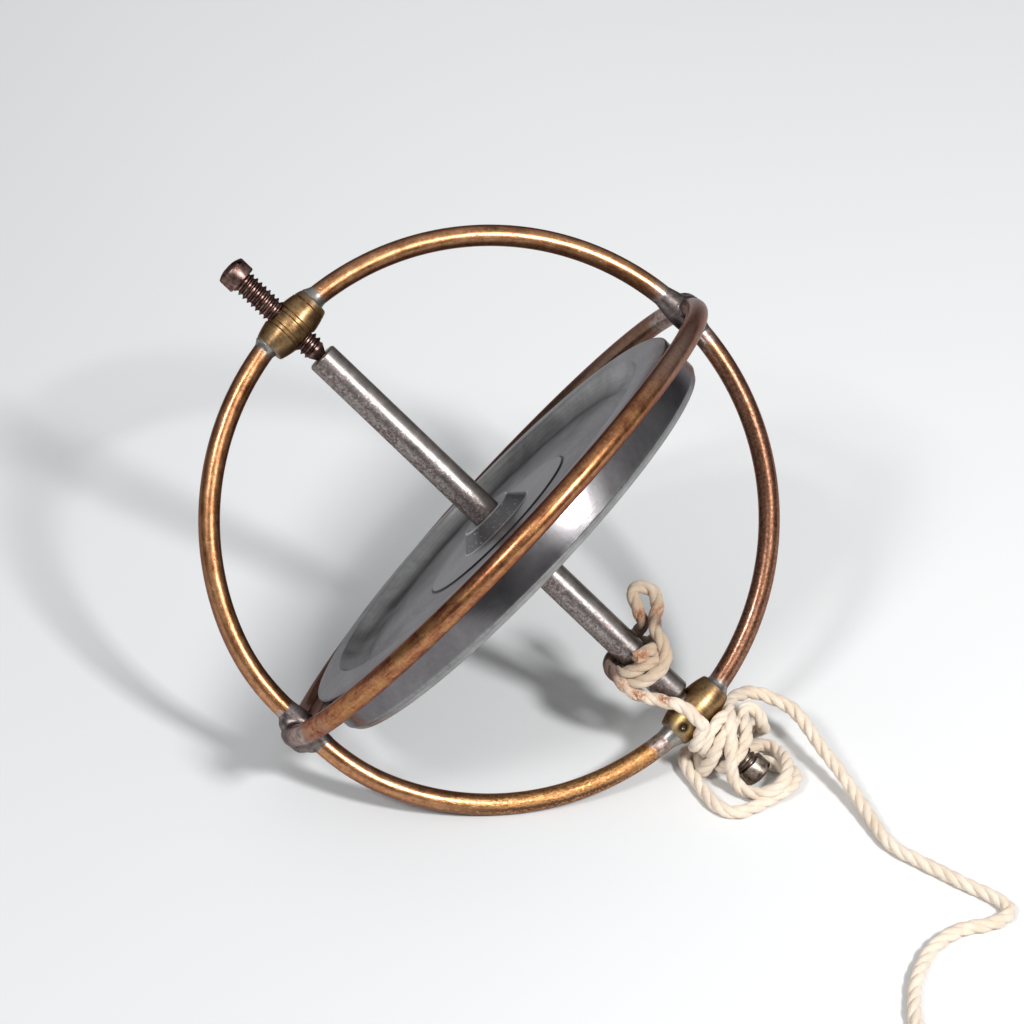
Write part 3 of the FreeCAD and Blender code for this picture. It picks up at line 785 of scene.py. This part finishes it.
def tarnished(finish, along, beside, out, colours, stain):
    """Drawn wire: streaks along it, mottled brown tarnish and dark pits."""
    streaks = finish.grain(1.0, 4, 0.65, at=finish.joined(along * 0.22, beside * 1.5, out * 1.5))
    cloud = finish.grain(0.30, 4, 0.62, warp=0.5)
    mottle = finish.grain(1.5, 3, 0.7)
    fine = finish.grain(5.0, 2, 0.6)
    colour = finish.ramp(cloud * 0.4 + streaks * 0.35 + mottle * 0.25, *colours)
    pits = finish.grain(2.1, 2, 0.7).rise(0.60, 0.68) * cloud.rise(0.44, 0.56)
    colour = finish.mix(pits * 0.6, colour, stain)
    rough = 0.20 + streaks * 0.14 + pits * 0.2 + mottle * 0.08
    height = streaks * 0.5 + mottle * 0.3 + fine * 0.2 - pits * 0.6
    return colour, rough, height


def soldered(finish, colour, rough, left_reach, right_reach):
    """Solder that has run over the wire at the crossings and beside the bosses."""
    skin = finish.near([LEFT_CROSSING], left_reach, 1.2, 3.0)
    skin = skin.most(finish.near([RIGHT_CROSSING], right_reach, 5.0, 5.0))
    skin = skin.most(finish.near(BOSS_FACES, 1.6, 1.6, 2.4) * 0.85)
    skin = skin.most(finish.near([SOLDER_RUN], 2.7, 1.0, 1.6) * 0.9)
    grey = finish.ramp(finish.grain(0.7, 4, 0.65, warp=0.5), (0.32, (0.13, 0.09, 0.08)),
                       (0.48, (0.38, 0.31, 0.285)), (0.68, (0.60, 0.53, 0.49)))
    return finish.mix(skin, colour, grey), rough + skin * 0.06


def meridian_finish():
    """Bronze wire: duller low on the right, and golden, creased and pocked where it stands on the table."""
    finish = Finish("meridian_wire")
    x, y, z = finish.cage_place()
    out = (x * x + z * z) ** 0.5 - MERIDIAN
    colour, rough, height = tarnished(
        finish, x.angle(z) * MERIDIAN, y, out,
        ((0.34, (0.12, 0.042, 0.02)), (0.44, (0.37, 0.158, 0.068)), (0.54, (0.59, 0.285, 0.13)),
         (0.68, (0.78, 0.49, 0.28))), (0.10, 0.04, 0.025))
    # painted shade: the wire's inner and outer sides are darkened, standing for the dark room they reflect
    edge = out.size().rise(0.9, 1.95) * 0.72
    colour = finish.mix(edge, colour, (0.13, 0.045, 0.022))
    specks = finish.grain(1.9, 3, 0.65).rise(0.40, 0.62)
    dull = x.rise(0, 8) * z.rise(4, -16) * 0.82
    colour = finish.mix(dull, colour, finish.mix(specks, (0.12, 0.052, 0.037), (0.30, 0.145, 0.092)))
    golden = x.rise(2, -12) * z.rise(-22, -42)
    colour = finish.mix(golden * 0.6, colour, finish.mix(specks, (0.38, 0.165, 0.05), (0.72, 0.40, 0.14)))
    crease = (out - 1.0 + (specks - 0.5) * 0.3).size().rise(0.42, 0.20) * golden * z.rise(-53, -50)
    pocks = finish.grain(2.0, 2, 0.7).rise(0.50, 0.55) * out.rise(0.9, 1.2) * golden
    colour = finish.mix(crease.most(pocks) * 0.9, colour, (0.08, 0.033, 0.02))
    height = height + golden * specks * 1.5
    colour, rough = soldered(finish, colour, rough, 4.6, 4.6)
    return finish.done(colour, rough, 1.0, finish.bump(height, 0.035), Specular_Tint=(0.42, 0.24, 0.14, 1),
                       Coat_Weight=0.5, Coat_Roughness=0.13)


def equator_finish():
    """The same wire, redder: golden in places in front, pink on the right, and painted shade on the far half
    behind the flywheel.
    """
    finish = Finish("equator_wire")
    x, y, z = finish.cage_place()
    out = (x * x + y * y) ** 0.5 - EQUATOR
    colour, rough, height = tarnished(
        finish, y.angle(x) * EQUATOR, z, out,
        ((0.34, (0.075, 0.025, 0.02)), (0.44, (0.27, 0.10, 0.045)), (0.56, (0.49, 0.225, 0.09)),
         (0.70, (0.64, 0.36, 0.17))), (0.06, 0.025, 0.025))
    mottle = finish.grain(1.1, 3, 0.7)
    # painted shade: the wire's upper and lower sides are darkened away from the crossings, standing for the
    # dark room they reflect
    edge = (z - y * math.tan(LEAN)).size().rise(0.9, 1.95) * x.size().rise(50, 36) * 0.65
    colour = finish.mix(edge, colour, (0.10, 0.028, 0.025))
    golden = x.rise(-8, -26) * y.rise(-8, -24) * finish.grain(0.30, 2).rise(0.50, 0.58)
    colour = finish.mix(golden * 0.5, colour, finish.mix(mottle, (0.22, 0.10, 0.04), (0.60, 0.34, 0.13)))
    pale = finish.near([LEFT_CROSSING], 20.0, 12.0, 5.0) * finish.grain(0.5, 4, 0.65).rise(0.40, 0.56)
    colour = finish.mix(pale * 0.75, colour, (0.48, 0.30, 0.225))
    pink = x.rise(26, 42) * y.rise(4, -6)
    colour = finish.mix(pink * 0.8, colour, finish.mix(mottle, (0.24, 0.13, 0.105), (0.54, 0.39, 0.33)))
    # painted shade: the far half of the hoop, behind the flywheel, is darkened with mottling
    dark = y.rise(0.5, 7) * 0.8
    colour = finish.mix(dark, colour, finish.mix(mottle, (0.06, 0.035, 0.03), (0.27, 0.18, 0.13)))
    colour, rough = soldered(finish, colour, rough, 15.5, 14.0)
    return finish.done(colour, rough, 1.0, finish.bump(height, 0.035), Specular_Tint=(0.34, 0.20, 0.17, 1),
                       Coat_Weight=0.3, Coat_Roughness=0.16)


def boss_finish():
    """Dull turned brass with fine tool marks round it and brighter rubbed scratches, which also serve as a
    painted highlight on the lower boss.
    """
    finish = Finish("turned_boss_brass")
    x, y, z = finish.cage_place()
    cloud = finish.grain(0.40, 4, 0.62, warp=0.4)
    mottle = finish.grain(1.7, 4, 0.7)
    tool = finish.grain(1.0, 3, 0.7, at=finish.joined(x * 5.0, y * 0.35, z * 0.35))
    colour = finish.ramp(
        cloud * 0.45 + mottle * 0.25 + tool * 0.3, (0.34, (0.11, 0.05, 0.024)), (0.46, (0.225, 0.13, 0.055)),
        (0.58, (0.375, 0.24, 0.11)), (0.72, (0.56, 0.39, 0.205)))
    # painted shade: the barrel is darkened along its sides that face up and down the axle, standing for the
    # dark room they reflect
    edge = (z.size() - BOSS_AT).size().rise(2.2, 4.0) * 0.6
    colour = finish.mix(edge, colour, (0.10, 0.042, 0.02))
    # rubbed brass and a painted highlight: a brighter patch on the front of the lower boss
    rubbed = finish.near([(-3.6, -3.8, -52.0), (-2.2, -4.0, -53.6)], 1.6, 1.4, 1.6)
    colour = finish.mix(rubbed * 0.55, colour, (0.66, 0.46, 0.18))
    # painted shade: a dark spot in the punch mark on the lower boss
    dimple_painted_shade = finish.near([(-4.0, -3.7, -52.9)], 0.75, 0.7)
    colour = finish.mix(dimple_painted_shade * 0.85, colour, (0.035, 0.02, 0.015))
    skin = finish.near(BOSS_FACES, 2.3, 1.6, 2.2) * 0.5
    colour = finish.mix(skin, colour, (0.34, 0.31, 0.28))
    rough = 0.27 + mottle * 0.12 + cloud * 0.1
    return finish.done(colour, rough, 1.0, finish.bump(tool * 0.6 + mottle * 0.4, 0.035),
                       Specular_Tint=(0.40, 0.28, 0.16, 1), Coat_Weight=0.25, Coat_Roughness=0.25)


def solder_finish():
    """Solder, browned with age at the crossings and paler in the collars at the bosses."""
    finish = Finish("wiped_solder")
    cloud = finish.grain(0.55, 4, 0.62, warp=0.5)
    mottle = finish.grain(2.2, 3, 0.7)
    colour = finish.ramp(
        cloud * 0.6 + mottle * 0.4, (0.32, (0.085, 0.066, 0.062)), (0.45, (0.16, 0.13, 0.122)),
        (0.56, (0.24, 0.20, 0.19)), (0.70, (0.36, 0.325, 0.305)))
    collar = finish.cage_place()[2].size().rise(40, 46) * 0.6
    colour = finish.mix(collar, colour, finish.mix(mottle, (0.30, 0.30, 0.285), (0.60, 0.59, 0.55)))
    rough = 0.26 + cloud * 0.2
    return finish.done(colour, rough, 1.0, finish.bump(cloud * 0.8 + mottle * 0.2, 0.035),
                       Specular_Tint=(0.55, 0.52, 0.52, 1))


def screw_finish():
    """Browned steel; the upper screw is browner than the lower one."""
    finish = Finish("browned_screw_steel")
    cloud = finish.grain(0.9, 4, 0.65, warp=0.4)
    colour = finish.ramp(cloud, (0.3, (0.10, 0.072, 0.055)), (0.5, (0.29, 0.235, 0.195)),
                         (0.62, (0.46, 0.395, 0.34)), (0.78, (0.60, 0.545, 0.49)))
    upper = finish.cage_place()[2].rise(-5, 5)
    browned = finish.ramp(cloud, (0.3, (0.055, 0.026, 0.022)), (0.5, (0.15, 0.08, 0.07)),
                          (0.72, (0.32, 0.20, 0.18)))
    colour = finish.mix(upper * 0.85, colour, browned)
    rough = 0.27 + cloud * 0.2
    return finish.done(colour, rough, 1.0, finish.bump(finish.grain(4.0), 0.02),
                       Specular_Tint=(0.4, 0.34, 0.34, 1))


def axle_finish():
    """Ground steel, with rust mottling and some painted shade down the side that lay lowest."""
    finish = Finish("ground_axle_steel")
    x, y, z = finish.cage_place()
    cloud = finish.grain(0.30, 4, 0.6, warp=0.6)
    mottle = finish.grain(1.6, 4, 0.7)
    grind = finish.grain(1.0, 3, 0.7, at=finish.joined(x * 0.4, y * 0.4, z * 6.0))
    colour = finish.ramp(cloud * 0.5 + mottle * 0.2 + grind * 0.3, (0.34, (0.19, 0.167, 0.16)),
                         (0.5, (0.35, 0.32, 0.305)), (0.66, (0.53, 0.50, 0.48)))
    rust_and_shade_side = (y * 0.5 + x * 0.87).rise(0.6, -2.2)
    rust = (mottle * 0.6 + cloud * 0.4).rise(0.46, 0.56) * (0.2 + rust_and_shade_side * 0.8)
    # painted shade: the whole of that side is darkened a little, besides the rust
    colour = finish.mix(rust_and_shade_side * 0.15, colour, (0.13, 0.105, 0.10))
    colour = finish.mix(rust * 0.8, colour, (0.14, 0.085, 0.075))
    pale = finish.grain(1.9, 3, 0.75).rise(0.54, 0.60) * rust_and_shade_side
    colour = finish.mix(pale * 0.7, colour, (0.52, 0.49, 0.47))
    rough = 0.27 + cloud * 0.08 + rust * 0.2
    return finish.done(colour, rough, 1.0, finish.bump(grind * 0.5 + mottle * 0.5, 0.012),
                       Specular_Tint=(0.55, 0.52, 0.5, 1))


def flywheel_finish():
    """Turned steel with a dull skin: darker on its side, paler on the cut corner below."""
    finish = Finish("turned_flywheel_steel")
    across, away, along = finish.cage_place()
    out = (across * across + away * away) ** 0.5
    cloud = finish.grain(0.10, 3, 0.6, warp=0.6)
    blotch = finish.grain(0.7, 4, 0.7)
    turned = finish.grain(1.0, 4, 0.7, at=finish.joined(out * 4.5, along * 4.5, cloud * 2.0))
    colour = finish.ramp(cloud * 0.5 + blotch * 0.15 + turned * 0.35, (0.32, (0.18, 0.178, 0.176)),
                         (0.5, (0.33, 0.327, 0.325)), (0.68, (0.50, 0.497, 0.495)))
    colour = finish.mix(out.rise(PLATEAU + 0.3, PLATEAU - 0.1) * 0.4, colour, (0.52, 0.515, 0.51))
    upper_face = along.rise(-5, -2)
    hub = out.rise(HUB_FOOT + 0.35, HUB_FOOT + 0.05) * upper_face
    scratch = finish.grain(1.4, 2, 0.8).rise(0.60, 0.66) * 0.6
    edges = (out - HUB_TOP).size().rise(0.32, 0.05).most((out - (HUB_FOOT + 0.05)).size().rise(0.28, 0.05))
    colour = finish.mix(hub, colour, finish.mix(edges.most(scratch), (0.20, 0.20, 0.205), (0.62, 0.62, 0.61)))
    # painted shade: a near-black ring at the step round the plateau, where the groove's shade falls
    groove_painted_shade = (out - (PLATEAU + 0.2)).size().rise(0.42, 0.12) * upper_face
    colour = finish.mix(groove_painted_shade * 0.9, colour, (0.02, 0.02, 0.02))
    side = out.rise(WHEEL_RADIUS - 0.5, WHEEL_RADIUS - 0.1)
    dull = finish.ramp(cloud * 0.6 + blotch * 0.4, (0.3, (0.13, 0.122, 0.126)), (0.65, (0.215, 0.205, 0.21)))
    colour = finish.mix(side, colour, dull)
    corner = side * along.rise(-6.0, -6.6)
    bare = finish.ramp(blotch, (0.3, (0.20, 0.203, 0.20)), (0.6, (0.30, 0.303, 0.298)))
    colour = finish.mix(corner, colour, bare)
    rough = 0.26 + cloud * 0.14 + turned * 0.06 - side * 0.12
    return finish.done(colour, rough, 1.0, finish.bump(turned * 0.6 + blotch * 0.4, 0.022),
                       Specular_Tint=(0.6, 0.58, 0.6, 1))


# Where rust has marked the cord, with painted shade where it wraps round the sides of the axle, and where
# handling has.
RUST_AND_SHADE = [(5.6, 0.6, -34.6), (3.6, -1.8, -36.6), (7.0, -2.2, -35.6), (-5.4, 0.6, -35.4), (-5.6, 1.6, -37.0),
         (-4.4, 2.8, -35.2), (-6.2, -1.0, -36.4)]
HANDLED = [(0.4, -6.6, -37.0), (-1.0, -6.0, -36.4), (6.0, -2.2, -32.8), (6.4, -1.6, -33.9),
           (9.0, -3.4, -34.4), (-6.4, -2.4, -38.6), (-5.6, -3.2, -42.4), (-2.6, -4.4, -46.2)]


def cotton_finish():
    """Undyed cotton, gone tan where it has rubbed on oily metal."""
    finish = Finish("undyed_cotton")
    cloud = finish.grain(0.25, 3, 0.6)
    fibres = finish.grain(5.0, 3, 0.7)
    colour = finish.ramp(cloud * 0.6 + fibres * 0.4, (0.3, (0.68, 0.53, 0.39)), (0.5, (0.83, 0.70, 0.56)),
                         (0.72, (0.92, 0.83, 0.71)))
    tan = finish.near([(4.0, -2.0, -36.0)], 6.5, 7.0, 3.0) * 0.85
    colour = finish.mix(tan, colour, finish.mix(fibres, (0.34, 0.22, 0.13), (0.68, 0.52, 0.37)))
    patchy = finish.grain(1.6, 3, 0.7).rise(0.36, 0.56)
    colour = finish.mix(finish.near(HANDLED, 0.3, 2.2, 2.6) * patchy, colour, (0.36, 0.115, 0.035))
    # rust stains, darkened further as painted shade where the cord wraps round the sides of the axle
    colour = finish.mix(finish.near(RUST_AND_SHADE, 1.5, 1.7, 1.8) * 0.9, colour, (0.14, 0.06, 0.038))
    return finish.done(colour, 0.9, 0.0, finish.bump(fibres, 0.14), Sheen_Weight=0.3)


FINISHES = {
    "meridian_hoop_right": meridian_finish(),
    "equator_hoop": equator_finish(),
    "upper_boss": boss_finish(),
    "upper_boss_solder_right": solder_finish(),
    "upper_pivot_screw": screw_finish(),
    "axle": axle_finish(),
    "flywheel": flywheel_finish(),
}
SAME = {
    "meridian_hoop_left": "meridian_hoop_right",
    "lower_boss": "upper_boss",
    "upper_boss_solder_left": "upper_boss_solder_right",
    "lower_boss_solder_right": "upper_boss_solder_right",
    "lower_boss_solder_left": "upper_boss_solder_right",
    "crossing_solder_right": "upper_boss_solder_right",
    "crossing_solder_left": "upper_boss_solder_right",
    "lower_pivot_screw": "upper_pivot_screw",
}


def dress(item, material):
    """Gives a piece its finish, and no other."""
    item.data.materials.clear()
    item.data.materials.append(material)


for name in list(FINISHES) + list(SAME):
    dress(frame["nodes"][name], FINISHES[SAME.get(name, name)])
dress(METAL_WIRES[0], FINISHES["equator_hoop"])
dress(METAL_WIRES[1], FINISHES["meridian_hoop_right"])
for drop in MELTED_SOLDER:
    dress(drop, FINISHES["upper_boss_solder_right"])
dress(AXLE_PIECE, FINISHES["axle"])
dress(WHEEL_PIECE, FINISHES["flywheel"])
dress(UPPER_SCREW, FINISHES["upper_pivot_screw"])
dress(LOWER_SCREW, FINISHES["upper_pivot_screw"])
dress(CORD_PIECE, cotton_finish())

# ---------------------------------------------------------------- table and light

TABLE_REACH = 30.0  # metres from the middle to a side, so that no camera sees an edge


def table():
    """A white table with painted light: a little greyer towards the far left and paler towards the right."""
    mesh = bpy.data.meshes.new("table")
    shape = bmesh.new()
    bmesh.ops.create_grid(shape, x_segments=1, y_segments=1, size=TABLE_REACH)
    shape.to_mesh(mesh)
    shape.free()
    item = bpy.data.objects.new("table", mesh)
    bpy.context.scene.collection.objects.link(item)
    finish = Finish("white_table")
    # painted light: the floor's colour grades from grey to pale across the table, standing for the lamps'
    # falloff
    painted_light_falloff = finish.ramp(finish.part((0.94, 0.34, 0)).rise(-110, 110), (0.0, (0.70, 0.71, 0.72)),
                       (0.5, (0.775, 0.785, 0.79)), (1.0, (0.83, 0.835, 0.835)))
    dress(item, finish.done(painted_light_falloff, 0.75, 0.0, Specular_IOR_Level=0.2))


def lamp(name, place, side, power):
    """A square lamp that faces the gyroscope, with its place and side in metres and its power in watts."""
    data = bpy.data.lights.new(name, "AREA")
    data.shape = "SQUARE"
    data.size = side
    data.energy = power
    item = bpy.data.objects.new(name, data)
    item.location = place
    item.rotation_euler = (Vector((0, 0, 0.03)) - Vector(place)).to_track_quat("-Z", "Y").to_euler()
    bpy.context.scene.collection.objects.link(item)


def room():
    """A plain room, paler overhead than at the horizon, and the two lamps that make the two shadows."""
    world = bpy.data.worlds.new("room")
    bpy.context.scene.world = world
    sky = Finish("room", world)
    height = sky.vector("DOT_PRODUCT", sky.node("ShaderNodeTexCoord", output="Generated"), (0, 0, 1))
    glow = sky.ramp(height, (0.0, (0.06, 0.06, 0.065)), (0.15, (0.12, 0.12, 0.125)),
                    (0.5, (0.32, 0.325, 0.33)), (1.0, (0.57, 0.58, 0.59)))
    sky.node("ShaderNodeOutputWorld", None, sky.node("ShaderNodeBackground", None, glow, 1.0))
    lamp("right_lamp", (0.515, -0.645, 0.850), 0.16, 10.9)
    lamp("left_lamp", (-0.545, -0.825, 1.050), 0.22, 6.3)


table()
room()
bpy.context.scene.view_settings.view_transform = "Standard"
